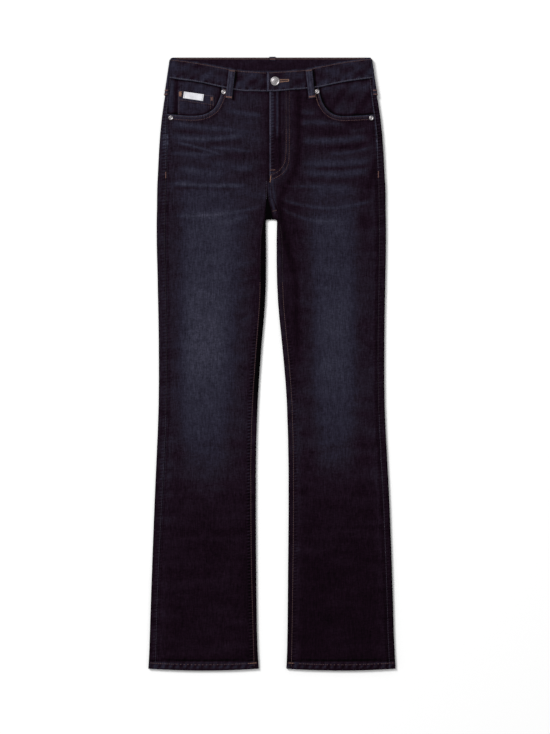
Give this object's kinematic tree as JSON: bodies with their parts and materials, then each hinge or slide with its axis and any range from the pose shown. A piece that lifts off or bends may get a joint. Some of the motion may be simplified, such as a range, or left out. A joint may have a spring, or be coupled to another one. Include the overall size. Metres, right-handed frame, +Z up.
{
  "type": "bootcut jeans",
  "caption": "Bootcut denim jeans laid flat, front up: waistband with belt loops, button fly, front pockets with coin pocket, flared hems.",
  "frame": {"origin": "centre of the outline, on the surface that the jeans lie on", "axes": "+Y from the hems towards the waistband, +Z up out of the fly, +X towards the wearer's left"},
  "size_m": [0.4452, 1.1048, 0.0127],
  "materials": {
    "denim": "dark indigo cotton twill, faded along the thighs",
    "denim_worn": "the same twill, worn lighter on raised strips",
    "label_cloth": "plain white woven tape",
    "nickel": "aged nickel plate, satin"
  },
  "bodies": {
    "root": {"front_right": "denim", "front_left": "denim", "back_right": "denim", "back_left": "denim", "yoke_right": "denim", "yoke_left": "denim", "back_pocket_right": "denim", "back_pocket_left": "denim", "waistband": "denim", "loop_front_right": "denim_worn", "loop_front_left": "denim_worn", "loop_side_right": "denim_worn", "loop_side_left": "denim_worn", "loop_back": "denim_worn", "pocket_facing_right": "denim", "pocket_facing_left": "denim", "coin_pocket": "denim", "label": "label_cloth", "button": "nickel", "rivet_inner_right": "nickel", "rivet_outer_right": "nickel", "rivet_inner_left": "nickel", "rivet_outer_left": "nickel"}
  },
  "joints": []
}
